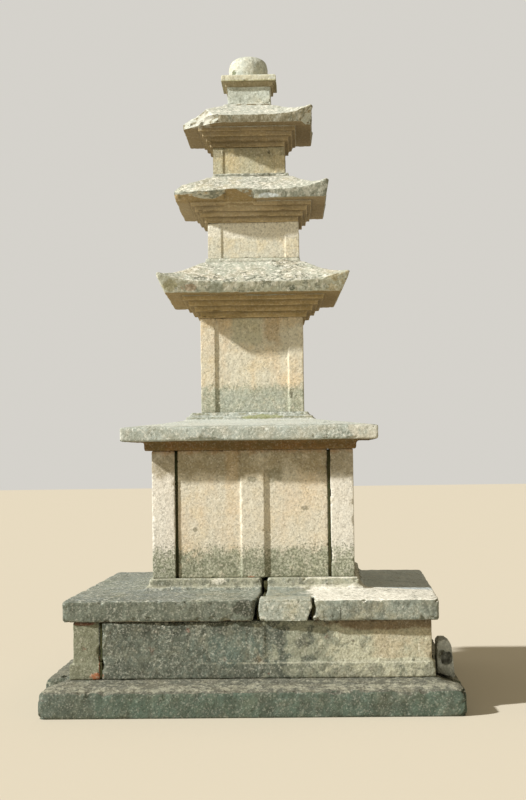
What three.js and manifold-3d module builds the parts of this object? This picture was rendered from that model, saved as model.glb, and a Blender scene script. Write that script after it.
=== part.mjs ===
// A three-storey granite pagoda on a two-tier stone base, stacked dry, stone upon stone.
// Millimetres. X runs to the right and Y away from the viewer of the front face, Z is up.
// The origin is at the middle of the bottom face.

import * as THREE from "three";
import { mergeVertices } from "three/addons/utils/BufferGeometryUtils.js";
import Module from "manifold-3d";

const wasm = await Module();
wasm.setup();

// Levels where one course rests on the next, measured up from the foot.
const LEVEL = {
  lowerBase: 213,
  lowerCap: 565,
  upperBase: 791,
  upperCap: 1616,
  body1: 1867,
  roof1: 2501,
  body2: 2904,
  roof2: 3146,
  body3: 3488,
  roof3: 3668,
  finialBase: 3987,
  finialBowl: 4180,
  top: 4336,
};

// Half widths of the courses.
const HALF = {
  ground: 1301,
  plinth: 1129,
  lowerBase: 1107,
  lowerCap: 1160,
  upperBase: 654,
  upperCap: 826,
  body1: 344,
  body2: 307,
  body3: 244,
};

// How far the stones have crept sideways and turned over the centuries.
const CREEP = {
  lowerCap: { x: 18, turn: -1.4 },
  upperCap: { x: -7, turn: -0.5 },
  body1: { x: -4, turn: 0 },
  roof1: { x: 1, turn: 1.6 },
  body2: { x: 14, turn: 0 },
  roof2: { x: -2, turn: 0.65 },
  body3: { x: -12, turn: 0 },
  roof3: { x: -22, turn: 0 },
  finialBase: { x: -10, turn: 0 },
  finialBowl: { x: -16, turn: 0 },
};

const GROUND = { rimZ: 150, bevel: 18, frontDepth: 301, sideDepth: 601, leftProud: 38 };
const LOWER_BASE = { plinthTop: 309, slab: 175, joint: 8 };
const ROUGH_BOSS = { thickProud: 20, thinProud: 12, thickEnd: 80, end: 460 };
const LOWER_CAP = { rim: 132, stepZ: 157, lip: 174, lipHalf: 705, mouldHalf: 682 };
const CAP_JOINT = { left: 74, right: 102, across: 12 };
const UPPER_BASE = { pillar: 152, joint: 14, recess: 20, midPost: 155, slab: 130 };
const UPPER_CAP = { bandZ: 58, bandHalf: 690, rimZ: 151, mouldZ: 202, mouldX: -13 };
const CAP_MOULD = { lowHalf: 424, lowZ: 226, highHalf: 396 };
const BODY = { recesses: [14, 8, 8], pilasters: [100, 92, 68] };
const FILL_GAP = 2;
const SEAT_GAP = 0.3;

// The piece broken off the front edge of the lower capstone, and the socket it lies in, as
// outlines seen from the front, in the capstone's own frame.
const FRAGMENT = {
  depth: 150,
  socketDepth: 158,
  piece: [[56, -5], [356, -5], [362, 20], [390, 86], [382, 128], [372, 160], [60, 160], [52, 60]],
  socket: [[30, -5], [380, -5], [386, 20], [398, 86], [396, 104], [384, 160], [30, 160]],
  undercut: [[20, -5], [70, -5], [70, 170], [50, 170]],
};

// The dark stone by the right side: its ends, its outline above the ground and the hollow in it.
const SLIPPED = {
  x: [1133, 1258],
  y: [-1010, -830],
  crown: [[1255, 240], [1246, 332], [1238, 385], [1224, 418], [1203, 431], [1154, 431], [1138, 418]],
  hollow: { x: [1172, 1229], y: [-1020, -940], z: [276, 342] },
};

// Roof stones. The corbels widen by tread and rise at each step, eave is the height of the
// eave's face at mid side, lean is how far it leans out, and lift raises its corners.
const ROOF1 = {
  corbels: 4, corbelHalf: 359, tread: 37, rise: 35, eaveHalf: 579, eave: 77, lean: 0.47,
  lift: 73, liftPower: 3, hollow: 1, footHalf: 345, seatHalf: 322, seatStep: 26,
};
const ROOF2 = {
  corbels: 4, corbelHalf: 319, tread: 29, rise: 32.5, eaveHalf: 503, eave: 61, lean: 0.2,
  lift: 76, liftPower: 3, hollow: 1, footHalf: 285, seatHalf: 260, seatStep: 24,
};
const ROOF3 = {
  corbels: 4, corbelHalf: 256, tread: 24, rise: 31.25, eaveHalf: 437, eave: 58, lean: 0.16,
  lift: 72, liftPower: 2, hollow: 1.2, footHalf: 195, seatHalf: 168, seatStep: 20,
};

// Breaks in the roofs, in each roof's own frame: a point on the break and the way it faces.
const TIP_LOSS = { at: [-470, -470, 215], faces: [-0.5, -0.5, 0.7], size: 300, rough: 3 };
const TOP_SPALL = { at: [-340, -480, 198], faces: [-0.074, -0.658, 0.751], size: 440, rough: 3 };
const UNDER_LOSS = { at: [-450, -450, 166], faces: [-0.206, -0.674, -0.709], size: 300, rough: 3 };
const EAVE_LOSS = { at: [-265, -481, 163], faces: [0, -0.83, -0.55], size: 580, rough: 3 };
const EAVE_BITE = { at: [-75, -452, 157], faces: [0, -0.62, -0.785], size: 190, rough: 3 };
const CORNER_LOSS = { at: [-267, -289, 249], faces: [-0.61, -0.52, 0.6], size: 500, rough: 6 };
const FOOT_LOSS = { at: [360, -437, 125], faces: [0.73, -0.27, -0.63], size: 260, rough: 3 };

const FINIAL_BASE = { half: 148, z: 113, corbelHalf: 165, corbelZ: 145, capHalf: 190, arris: 7 };
const FINIAL_BOWL = { footRadius: 132, radius: 139, shoulder: 40, fullness: 0.64, sides: 24, arcSteps: 8 };

const STONE = {
  cream: "#c4b698",
  pale: "#cfc6ac",
  weathered: "#a8a48b",
  mossy: "#84856f",
  dark: "#63645a",
  fill: "#6f6653",
};

const pagoda = new THREE.Group();

// A closed geometry as a solid that can be joined and cut.
function solidOf(geometry) {
  const bare = geometry.clone();
  bare.deleteAttribute("normal");
  bare.deleteAttribute("uv");
  const merged = mergeVertices(bare);
  const corners = merged.index.array;
  const kept = [];
  for (let i = 0; i < corners.length; i += 3) {
    const [a, b, c] = corners.slice(i, i + 3);
    if (a !== b && b !== c && c !== a) kept.push(a, b, c);
  }
  return new wasm.Manifold(
    new wasm.Mesh({
      numProp: 3,
      vertProperties: merged.attributes.position.array,
      triVerts: new Uint32Array(kept),
    }),
  );
}

function geometryOf(solid) {
  const { vertProperties, triVerts } = solid.getMesh();
  const geometry = new THREE.BufferGeometry();
  geometry.setAttribute("position", new THREE.BufferAttribute(vertProperties, 3));
  geometry.setIndex(new THREE.BufferAttribute(triVerts, 1));
  const faceted = geometry.toNonIndexed();
  faceted.computeVertexNormals();
  return faceted;
}

// A box between two corners.
function block([x0, x1], [y0, y1], [z0, z1]) {
  const box = new THREE.BoxGeometry(x1 - x0, y1 - y0, z1 - z0);
  box.translate((x0 + x1) / 2, (y0 + y1) / 2, (z0 + z1) / 2);
  return solidOf(box);
}

// A square stone turned from a profile of half widths and heights, as a lathe turns a round one.
// lift and reach raise and push out the corners, and leave the middle of each side where it is.
function squareStone(profile, steps = 1) {
  const around = 8 * steps;
  const points = profile.map((level) => new THREE.Vector2(level.half, level.z));
  const lathe = new THREE.LatheGeometry(points, around);
  const position = lathe.getAttribute("position");
  for (let i = 0; i < position.count; i++) {
    const level = profile[i % profile.length];
    const station = (Math.floor(i / profile.length) % around) + steps;
    const side = Math.floor(station / (2 * steps)) % 4;
    const along = ((station % (2 * steps)) - steps) / steps;
    const share = Math.sin((along * Math.PI) / 2);
    const corner = Math.abs(share) ** 5;
    const half = level.half + (level.reach ?? 0) * corner;
    const z = level.z + (level.lift ?? 0) * corner;
    const [a, b] = [half * share, half];
    const [x, y] = [[a, -b], [b, a], [-a, b], [-b, -a]][side];
    position.setXYZ(i, x, y, z);
  }
  return solidOf(lathe);
}

// A prism whose outline is seen from the front, from y0 back to y1.
function frontPrism(outline, y0, y1) {
  const shape = new THREE.Shape(outline.map(([x, z]) => new THREE.Vector2(x, z)));
  const prism = new THREE.ExtrudeGeometry(shape, { depth: y1 - y0, bevelEnabled: false });
  prism.rotateX(Math.PI / 2);
  prism.translate(0, y1, 0);
  return solidOf(prism);
}

// What a break takes away: everything beyond a rough plane, on the side that it faces.
function breakAt({ at, faces, size, rough }) {
  const cells = 6;
  const lump = new THREE.BoxGeometry(size, size, size, cells, cells, 1);
  lump.translate(0, 0, size / 2);
  const position = lump.getAttribute("position");
  for (let i = 0; i < position.count; i++) {
    if (position.getZ(i) > 1) continue;
    const [x, y] = [position.getX(i), position.getY(i)];
    const wave = Math.sin(x * 0.031 + 1.3) * Math.cos(y * 0.027) + Math.sin((x - y) * 0.017);
    position.setZ(i, rough * wave);
  }
  const outward = new THREE.Vector3(...faces).normalize();
  const up = new THREE.Vector3(0, 0, 1);
  lump.applyQuaternion(new THREE.Quaternion().setFromUnitVectors(up, outward));
  lump.translate(...at);
  return solidOf(lump);
}

// A course is a group of stones with its own seat, creep and turn.
function course(level, creep = { x: 0, turn: 0 }) {
  const group = new THREE.Group();
  group.position.set(creep.x, 0, level);
  group.rotation.z = THREE.MathUtils.degToRad(creep.turn);
  pagoda.add(group);
  return group;
}

function addStone(group, name, solid, colour) {
  const material = new THREE.MeshStandardMaterial({ color: colour, roughness: 0.92, metalness: 0 });
  const mesh = new THREE.Mesh(geometryOf(solid), material);
  mesh.name = name;
  group.add(mesh);
}

// Ground course: two long stones at front and back, two between them at the sides.
// The top falls gently outwards from the foot of the plinth to a worn rim, and the left
// stone stands a little proud of the others beyond the plinth.
function groundCourse() {
  const group = course(0);
  const whole = squareStone([
    { half: 0, z: 0 },
    { half: HALF.ground, z: 0 },
    { half: HALF.ground, z: GROUND.rimZ },
    { half: HALF.ground - GROUND.bevel, z: GROUND.rimZ + GROUND.bevel },
    { half: HALF.plinth, z: LEVEL.lowerBase },
    { half: 0, z: LEVEL.lowerBase },
  ]);
  const [outer, tall] = [HALF.ground, [0, LEVEL.lowerBase]];
  const frontJoint = outer - GROUND.frontDepth;
  const sideJoint = outer - GROUND.sideDepth;
  const [full, between] = [[-outer, outer], [-frontJoint, frontJoint]];
  const cuts = {
    ground_stone_front: [full, [-outer, -frontJoint]],
    ground_stone_back: [full, [frontJoint, outer]],
    ground_stone_left: [[-outer, -sideJoint], between],
    ground_stone_right: [[sideJoint, outer], between],
  };
  const [rim, proud] = [outer - GROUND.bevel, GROUND.leftProud];
  const crown = frontPrism(
    [
      [-outer, 0],
      [-HALF.plinth - SEAT_GAP, 0],
      [-HALF.plinth - SEAT_GAP, LEVEL.lowerBase + proud],
      [-rim, GROUND.rimZ + GROUND.bevel + proud],
      [-outer, GROUND.rimZ + proud],
    ],
    ...between,
  );
  for (const [name, [xs, ys]] of Object.entries(cuts)) {
    const stone = whole.intersect(block(xs, ys, tall));
    addStone(group, name, name === "ground_stone_left" ? stone.add(crown) : stone, STONE.mossy);
  }
  const inner = HALF.lowerBase - LOWER_BASE.slab - FILL_GAP;
  const foot = block([-sideJoint, sideJoint], between, tall);
  const heart = block([-inner, inner], [-inner, inner], [LEVEL.lowerBase, LEVEL.lowerCap]);
  addStone(group, "rubble_core", foot.add(heart), STONE.fill);
}

// One long slab of the lower base, seen from its own front, with a plinth along its foot.
// from and to are its two ends, and both ends of the plinth are given as well.
function baseSlab(from, to, footFrom, footTo) {
  const height = LEVEL.lowerCap - LEVEL.lowerBase;
  const plinth = LOWER_BASE.plinthTop - LEVEL.lowerBase;
  const inner = -(HALF.lowerBase - LOWER_BASE.slab);
  const upper = block([from, to], [-HALF.lowerBase, inner], [0, height]);
  return upper.add(block([footFrom, footTo], [-HALF.plinth, inner], [0, plinth]));
}

// Lower base: four slabs, each one lapping the end of the next, round the rubble core.
function lowerBase() {
  const group = course(LEVEL.lowerBase);
  const height = LEVEL.lowerCap - LEVEL.lowerBase;
  const butt = -(HALF.lowerBase - LOWER_BASE.slab) + LOWER_BASE.joint;
  const slab = baseSlab(butt, HALF.lowerBase, butt, HALF.plinth);
  const proud = (thick) => [-HALF.lowerBase - thick, -HALF.lowerBase + 1];
  const thickBoss = block([butt, ROUGH_BOSS.thickEnd], proud(ROUGH_BOSS.thickProud), [0, height]);
  const thinSpan = [ROUGH_BOSS.thickEnd, ROUGH_BOSS.end];
  const thinBoss = block(thinSpan, proud(ROUGH_BOSS.thinProud), [0, height]);
  addStone(group, "lower_base_front", slab.add(thickBoss).add(thinBoss), STONE.mossy);
  const turned = (quarters) => slab.rotate([0, 0, 90 * quarters]);
  addStone(group, "lower_base_right", turned(1), STONE.mossy);
  addStone(group, "lower_base_back", turned(2), STONE.mossy);
  addStone(group, "lower_base_left", turned(3), STONE.mossy);
}

// A broken stone that has slipped out and stands on the ground course by the right side.
function slippedStone() {
  const group = course(0);
  const drop = LEVEL.lowerBase - GROUND.rimZ - GROUND.bevel;
  const run = HALF.ground - GROUND.bevel - HALF.plinth;
  const seat = (x) => [x, LEVEL.lowerBase - (drop / run) * (x - HALF.plinth) + SEAT_GAP];
  const outline = [...SLIPPED.x.map(seat), ...SLIPPED.crown];
  const stone = frontPrism(outline, ...SLIPPED.y);
  const hollow = block(SLIPPED.hollow.x, SLIPPED.hollow.y, SLIPPED.hollow.z);
  addStone(group, "lower_base_right_fragment", stone.subtract(hollow), STONE.dark);
}

// Lower capstone: four slabs that meet in open joints, with the moulding that carries
// the upper base. A piece of the front edge has broken off and sits in its place.
function lowerCap() {
  const group = course(LEVEL.lowerCap, CREEP.lowerCap);
  const height = LEVEL.upperBase - LEVEL.lowerCap;
  const whole = squareStone([
    { half: 0, z: 0 },
    { half: HALF.lowerCap, z: 0 },
    { half: HALF.lowerCap, z: LOWER_CAP.rim },
    { half: LOWER_CAP.lipHalf, z: LOWER_CAP.stepZ },
    { half: LOWER_CAP.lipHalf, z: LOWER_CAP.lip },
    { half: LOWER_CAP.mouldHalf, z: LOWER_CAP.lip },
    { half: LOWER_CAP.mouldHalf, z: height },
    { half: 0, z: height },
  ]);
  const [edge, tall] = [HALF.lowerCap, [0, height]];
  const leftSpan = [-edge, CAP_JOINT.left - CREEP.lowerCap.x];
  const rightSpan = [CAP_JOINT.right - CREEP.lowerCap.x, edge];
  const [front, back] = [[-edge, -CAP_JOINT.across / 2], [CAP_JOINT.across / 2, edge]];
  const quarter = (xs, ys) => whole.intersect(block(xs, ys, tall));

  const fromFront = (outline, depth) => frontPrism(outline, -edge - 1, -edge + depth);
  const fragment = quarter([0, edge], front).intersect(fromFront(FRAGMENT.piece, FRAGMENT.depth));
  const socket = fromFront(FRAGMENT.socket, FRAGMENT.socketDepth);
  const undercut = fromFront(FRAGMENT.undercut, FRAGMENT.socketDepth);
  const frontLeft = quarter(leftSpan, front).subtract(undercut);
  const frontRight = quarter(rightSpan, front).subtract(socket);

  addStone(group, "lower_cap_front_left", frontLeft, STONE.weathered);
  addStone(group, "lower_cap_front_right", frontRight, STONE.weathered);
  addStone(group, "lower_cap_back_left", quarter(leftSpan, back), STONE.weathered);
  addStone(group, "lower_cap_back_right", quarter(rightSpan, back), STONE.weathered);
  addStone(group, "lower_cap_fragment", fragment, STONE.pale);
}

// Sunk panels between the corner pillars and the middle post of one face of the upper base.
function sunkPanels(faceY, pillarEdge, tall) {
  const post = UPPER_BASE.midPost / 2;
  const depth = [faceY - 1, faceY + UPPER_BASE.recess];
  return block([-pillarEdge, -post], depth, tall).add(block([post, pillarEdge], depth, tall));
}

// Upper base: two side slabs whose ends are the corner pillars, and a slab between them
// at front and back.
function upperBase() {
  const group = course(LEVEL.upperBase);
  const half = HALF.upperBase;
  const tall = [0, LEVEL.upperCap - LEVEL.upperBase];
  const past = [-1, tall[1] + 1];
  const inner = half - UPPER_BASE.pillar;
  const panels = sunkPanels(-half, inner, past);

  const side = block([-half, half], [-half, -inner], tall).subtract(panels);
  addStone(group, "upper_base_right", side.rotate([0, 0, 90]), STONE.cream);
  addStone(group, "upper_base_left", side.rotate([0, 0, 270]), STONE.cream);

  const reach = inner - UPPER_BASE.joint;
  const between = block([-reach, reach], [-half, -half + UPPER_BASE.slab], tall).subtract(panels);
  addStone(group, "upper_base_front", between, STONE.cream);
  addStone(group, "upper_base_back", between.rotate([0, 0, 180]), STONE.cream);
}

// Upper capstone: one slab with a set-back band below, a falling top and a two-step moulding.
function upperCap() {
  const group = course(LEVEL.upperCap, CREEP.upperCap);
  const height = LEVEL.body1 - LEVEL.upperCap;
  const slab = squareStone([
    { half: 0, z: 0 },
    { half: UPPER_CAP.bandHalf, z: 0 },
    { half: UPPER_CAP.bandHalf, z: UPPER_CAP.bandZ },
    { half: HALF.upperCap, z: UPPER_CAP.bandZ },
    { half: HALF.upperCap, z: UPPER_CAP.rimZ },
    { half: CAP_MOULD.lowHalf, z: UPPER_CAP.mouldZ },
    { half: 0, z: UPPER_CAP.mouldZ },
  ]);
  const middle = UPPER_CAP.mouldX;
  const step = (half, zs) => block([middle - half, middle + half], [-half, half], zs);
  const low = step(CAP_MOULD.lowHalf, [UPPER_CAP.bandZ, CAP_MOULD.lowZ]);
  const high = step(CAP_MOULD.highHalf, [CAP_MOULD.lowZ - 1, height]);
  addStone(group, "upper_capstone", slab.add(low).add(high), STONE.weathered);
}

// A body stone: one block with a flat pilaster left standing at each corner.
function bodyStone(storey, half, bottom, top, creep) {
  const [recess, pilaster] = [BODY.recesses[storey - 1], BODY.pilasters[storey - 1]];
  const group = course(bottom, creep);
  const height = top - bottom;
  const edge = half - pilaster;
  let stone = block([-half, half], [-half, half], [0, height]);
  for (let quarter = 0; quarter < 4; quarter++) {
    const panel = block([-edge, edge], [-half - 1, -half + recess], [-1, height + 1]);
    stone = stone.subtract(panel.rotate([0, 0, 90 * quarter]));
  }
  addStone(group, `body_${storey}`, stone, STONE.cream);
}

// A roof stone: four corbel steps, a flat soffit, an eave that rises to its corners,
// a falling top and a low step for the stone above.
function roofStone(roof, bottom, top) {
  const profile = [{ half: 0, z: 0 }];
  for (let step = 0; step < roof.corbels; step++) {
    const half = roof.corbelHalf + step * roof.tread;
    profile.push({ half, z: step * roof.rise }, { half, z: (step + 1) * roof.rise });
  }
  const soffit = roof.corbels * roof.rise;
  profile.push({ half: roof.eaveHalf, z: soffit });
  const edgeZ = soffit + roof.eave;
  const edgeHalf = roof.eaveHalf + roof.lean * roof.eave;
  const seatZ = top - bottom;
  const footZ = seatZ - roof.seatStep;
  const rings = 5;
  for (let ring = 0; ring < rings; ring++) {
    const out = 1 - ring / rings;
    const lift = roof.lift * out ** roof.liftPower;
    const z = edgeZ + (footZ - edgeZ) * (1 - out) ** roof.hollow;
    const half = roof.footHalf + (edgeHalf - roof.footHalf) * out;
    profile.push({ half, z, lift, reach: roof.lean * lift });
  }
  profile.push({ half: roof.footHalf, z: footZ }, { half: roof.seatHalf, z: footZ });
  profile.push({ half: roof.seatHalf, z: seatZ }, { half: 0, z: seatZ });
  return squareStone(profile, 4);
}

function storeys() {
  bodyStone(1, HALF.body1, LEVEL.body1, LEVEL.roof1, CREEP.body1);
  bodyStone(2, HALF.body2, LEVEL.body2, LEVEL.roof2, CREEP.body2);
  bodyStone(3, HALF.body3, LEVEL.body3, LEVEL.roof3, CREEP.body3);

  const roof1 = roofStone(ROOF1, LEVEL.roof1, LEVEL.body2);
  addStone(course(LEVEL.roof1, CREEP.roof1), "roof_1", roof1, STONE.pale);

  // The second roof has lost its front left tip, the top of the eave beside it, and the eave's
  // lower arris as far as the middle, with a deeper bite at the end of that break.
  let roof2 = roofStone(ROOF2, LEVEL.roof2, LEVEL.body3);
  for (const loss of [TIP_LOSS, TOP_SPALL, UNDER_LOSS, EAVE_LOSS, EAVE_BITE]) {
    roof2 = roof2.subtract(breakAt(loss));
  }
  addStone(course(LEVEL.roof2, CREEP.roof2), "roof_2", roof2, STONE.pale);

  // The third roof has lost its front left corner, and the foot of its front right corner.
  const roof3 = roofStone(ROOF3, LEVEL.roof3, LEVEL.finialBase).subtract(breakAt(CORNER_LOSS));
  addStone(course(LEVEL.roof3, CREEP.roof3), "roof_3", roof3.subtract(breakAt(FOOT_LOSS)), STONE.pale);
}

// What is left of the finial: a square base with a capped head, and an overturned bowl. The
// bowl is fuller than a round arc, by an exponent of less than 1 on its sine and cosine.
function finial() {
  const { half, z, corbelHalf, corbelZ, capHalf, arris } = FINIAL_BASE;
  const top = LEVEL.finialBowl - LEVEL.finialBase;
  const base = squareStone([
    { half: 0, z: 0 },
    { half, z: 0 },
    { half, z },
    { half: corbelHalf, z },
    { half: corbelHalf, z: corbelZ },
    { half: capHalf, z: corbelZ },
    { half: capHalf, z: top - arris },
    { half: capHalf - arris, z: top },
    { half: 0, z: top },
  ]);
  addStone(course(LEVEL.finialBase, CREEP.finialBase), "finial_base", base, STONE.pale);

  const { footRadius, radius, shoulder, fullness, sides, arcSteps } = FINIAL_BOWL;
  const height = LEVEL.top - LEVEL.finialBowl;
  const outline = [new THREE.Vector2(0, 0), new THREE.Vector2(footRadius, 0)];
  for (let step = 0; step < arcSteps; step++) {
    const angle = (step / arcSteps) * (Math.PI / 2);
    const rise = (height - shoulder) * Math.sin(angle) ** fullness;
    outline.push(new THREE.Vector2(radius * Math.cos(angle) ** fullness, shoulder + rise));
  }
  outline.push(new THREE.Vector2(0, height));
  const bowl = new THREE.LatheGeometry(outline, sides);
  bowl.rotateX(Math.PI / 2);
  addStone(course(LEVEL.finialBowl, CREEP.finialBowl), "finial_bowl", solidOf(bowl), STONE.pale);
}

groundCourse();
lowerBase();
slippedStone();
lowerCap();
upperBase();
upperCap();
storeys();
finial();

export default pagoda;
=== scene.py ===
# %% [markdown]
# # A three-storey granite pagoda, worn by rain and frost
#
# The pagoda is a dry stack of dressed granite stones. The frame already holds every stone at its
# true size, with sharp arrises and flat faces, as a mason leaves it. What it lacks is age. This
# lesson wears the arrises of each stone, breaks what has broken, and lays on the lichen, the rain
# streaks and the rust.
#
# Stone could be aged by sculpting by hand, by a displacement picture, or by rules. Rules are used
# here, because twenty-eight stones have to look like one quarry and one climate.

import math
from typing import NamedTuple

import bmesh
import bpy
from mathutils import Matrix, Vector, noise


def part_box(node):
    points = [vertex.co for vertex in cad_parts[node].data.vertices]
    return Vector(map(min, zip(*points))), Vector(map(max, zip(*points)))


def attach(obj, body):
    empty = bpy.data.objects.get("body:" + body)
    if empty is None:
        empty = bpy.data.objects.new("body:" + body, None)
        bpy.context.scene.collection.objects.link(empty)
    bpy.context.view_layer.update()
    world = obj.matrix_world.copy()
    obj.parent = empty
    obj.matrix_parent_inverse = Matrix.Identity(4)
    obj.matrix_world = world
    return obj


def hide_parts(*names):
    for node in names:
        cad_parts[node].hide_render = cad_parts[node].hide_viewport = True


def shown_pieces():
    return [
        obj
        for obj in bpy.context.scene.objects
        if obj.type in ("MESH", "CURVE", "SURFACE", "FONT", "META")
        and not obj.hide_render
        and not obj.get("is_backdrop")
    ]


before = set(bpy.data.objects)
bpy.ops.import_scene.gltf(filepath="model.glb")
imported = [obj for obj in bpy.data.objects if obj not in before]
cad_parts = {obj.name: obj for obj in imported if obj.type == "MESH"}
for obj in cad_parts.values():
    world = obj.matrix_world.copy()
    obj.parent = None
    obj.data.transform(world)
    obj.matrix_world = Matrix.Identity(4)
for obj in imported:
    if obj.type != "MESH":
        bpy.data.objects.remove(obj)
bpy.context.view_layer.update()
scene = bpy.context.scene
print("stones in the frame:", len(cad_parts))

# %% Small tools: sizes in millimetres, colours from hex, and one way to add a node
MM = 0.001
SOFT = {"interpolation_type": "SMOOTHSTEP"}


def linear(code):
    """The linear colour of an sRGB hex code, with full alpha."""
    parts = [int(code[i : i + 2], 16) / 255 for i in (1, 3, 5)]
    return (*[c / 12.92 if c <= 0.04045 else ((c + 0.055) / 1.055) ** 2.4 for c in parts], 1.0)


def add(tree, kind, inputs=None, **settings):
    """Adds one node with its settings, and gives each input a value or a link. Returns its outputs."""
    node = tree.nodes.new(kind)
    for name, value in settings.items():
        setattr(node, name, value)
    for name, value in (inputs or {}).items():
        socket = node.inputs[name]
        if isinstance(value, bpy.types.NodeSocket):
            tree.links.new(value, socket)
        else:
            socket.default_value = value
    return node.outputs


print("a warm granite in linear light:", [round(c, 3) for c in linear("#cdbb95")[:3]])

# %% [markdown]
# ## The camera, the floor and the light
#
# The camera stands where a visitor stands, a little to the right of the middle, with its eye 1.6 m
# above the ground. It looks slightly up, and a slight roll keeps the stack upright in the picture.
# A long lens flattens the courses, so their corbels show as even bands.
#
# The floor is a plain pale plane. The light is one key lamp, high on the left, and a warm world
# that fills the shade. The key comes in at a slant across the front faces, because raking light is
# what shows the tooling of stone. The floor throws a warm light up under the eaves.

# %% The camera
EYE = Vector((0.3743, -10.5996, 1.5995))
YAW, PITCH, ROLL = (math.radians(a) for a in (-1.7206, 1.9411, -0.7577))
LENS_MM = 69.195
SENSOR_MM = 36

ahead = Vector(
    (math.sin(YAW) * math.cos(PITCH), math.cos(YAW) * math.cos(PITCH), math.sin(PITCH))
)
level_right = Vector((math.cos(YAW), -math.sin(YAW), 0))
level_up = level_right.cross(ahead)
right = level_right * math.cos(ROLL) + level_up * math.sin(ROLL)
up = level_up * math.cos(ROLL) - level_right * math.sin(ROLL)

camera = bpy.data.objects.new("camera", bpy.data.cameras.new("camera"))
camera.data.lens = LENS_MM
camera.data.sensor_width = SENSOR_MM
camera.matrix_world = Matrix.Translation(EYE) @ Matrix((right, up, -ahead)).transposed().to_4x4()
scene.collection.objects.link(camera)
scene.camera = camera
print("camera at", [round(c, 2) for c in EYE])

# %% The floor, the key lamp and the pale world
FLOOR_HALF = 60.0
KEY_DIRECTION = Vector((2.1, 1.0, -1.52))
KEY_STRENGTH = 5.4
KEY_DISC_DEGREES = 2.5
FILL_STRENGTH = 0.40
BACKDROP_STRENGTH = 0.8

corners = [(-FLOOR_HALF, -FLOOR_HALF, 0), (FLOOR_HALF, -FLOOR_HALF, 0)]
corners += [(FLOOR_HALF, FLOOR_HALF, 0), (-FLOOR_HALF, FLOOR_HALF, 0)]
floor_mesh = bpy.data.meshes.new("studio_floor")
floor_mesh.from_pydata(corners, [], [(0, 1, 2, 3)])
floor = bpy.data.objects.new("studio_floor", floor_mesh)
scene.collection.objects.link(floor)
floor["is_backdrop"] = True
paper = bpy.data.materials.new("pale floor paper")
paper.use_nodes = True
paper.node_tree.nodes["Principled BSDF"].inputs["Base Color"].default_value = linear("#ccc5b5")
paper.node_tree.nodes["Principled BSDF"].inputs["Roughness"].default_value = 0.9
floor_mesh.materials.append(paper)

key = bpy.data.objects.new("key_lamp", bpy.data.lights.new("key_lamp", "SUN"))
key.data.energy = KEY_STRENGTH
key.data.angle = math.radians(KEY_DISC_DEGREES)
key.data.color = linear("#fffdf9")[:3]
key.rotation_mode = "QUATERNION"
key.rotation_quaternion = KEY_DIRECTION.to_track_quat("-Z", "Y")
scene.collection.objects.link(key)

world = bpy.data.worlds.new("pale studio")
world.use_nodes = True
sky = world.node_tree
sky.nodes.clear()
seen = add(sky, "ShaderNodeLightPath")["Is Camera Ray"]
fill = add(sky, "ShaderNodeBackground", {"Color": linear("#ffefce"), "Strength": FILL_STRENGTH})
backdrop = add(sky, "ShaderNodeBackground", {"Color": linear("#ebe8e1"), "Strength": BACKDROP_STRENGTH})
both = add(sky, "ShaderNodeMixShader", {0: seen, 1: fill[0], 2: backdrop[0]})
add(sky, "ShaderNodeOutputWorld", {"Surface": both[0]})
scene.world = world
scene.view_settings.view_transform = "Standard"
print("light falls at", round(math.degrees(math.asin(-KEY_DIRECTION.normalized().z))), "degrees")

# %% [markdown]
# ## Weather as a tool
#
# Rain and frost do three things to a dressed stone. They round its arrises, more in some places
# than in others. They split flat flakes off those arrises. And they roughen its faces as grains
# fall out. All three follow from the shape of the stone, so they are made as one Geometry Nodes
# tree that every stone shares.
#
# The stone first comes in as an even mesh of small squares. Blurring the places of its points
# rounds it, as a sanded edge rounds. The tree keeps three blurred places for each point. Blurred
# once or twice, an arris is fresh. Blurred more, it is worn, and a slow noise chooses between these
# two. Blurred many times, it lies where a flake has split off, and a noise with a crisp edge
# switches to that place. Flat faces don't move when they are blurred, so flakes show only where
# a stone has an arris to lose. A sharp tip moves furthest of all, and it always goes.
#
# Under the eaves, below the level called "Shelter", no rain falls and every arris stays fresh. The
# stones near the ground use the same level to keep whole the arris that they stand on.
#
# How far a point lies outside its own blurred place tells how exposed it is. This is kept for the
# materials as "wear" and "crevice". The beds, where one stone rests on another, stay true.


# %% How a stone ages by rule, with lengths in metres
AGE = {
    "Fresh steps": 2,
    "Worn steps": 10,
    "Break steps": 36,
    "Wear": 0.7,
    "Wear patch": 160 * MM,
    "Roughness": 3.0 * MM,
    "Grain loss": 30 * MM,
    "Waves": 3.0 * MM,
    "Chip level": 0.60,
    "Chip size": 50 * MM,
    "Blunt from": 20 * MM,
    "Shelter": -1.0,
}
NUMBER = {int: "NodeSocketInt", float: "NodeSocketFloat"}
WEATHER_INPUTS = [("Stone", "NodeSocketGeometry"), ("Granite", "NodeSocketMaterial")]
WEATHER_INPUTS += [(name, NUMBER[type(value)], value) for name, value in AGE.items()]
WEATHER_INPUTS += [(name, "NodeSocketFloat", 0.0) for name in ("Bottom bed", "Top bed", "Seed")]
print("the weathering tree has", len(WEATHER_INPUTS), "inputs")


# %% A tree with named inputs, and the two things that the weathering tree keeps asking for
def open_tree(name, kind, inputs, output):
    """Makes a node tree with named inputs and one output. Returns it and what it is given."""
    tree = bpy.data.node_groups.new(name, kind)
    for label, socket_kind, *value in inputs:
        socket = tree.interface.new_socket(label, in_out="INPUT", socket_type=socket_kind)
        if value:
            socket.default_value = value[0]
    tree.interface.new_socket(output[0], in_out="OUTPUT", socket_type=output[1])
    return tree, add(tree, "NodeGroupInput")


def blurred(tree, here, steps):
    """The place that a point has after its surroundings have been evened out."""
    inputs = {"Value": here, "Iterations": steps}
    return add(tree, "GeometryNodeBlurAttribute", inputs, data_type="FLOAT_VECTOR")[0]


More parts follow.
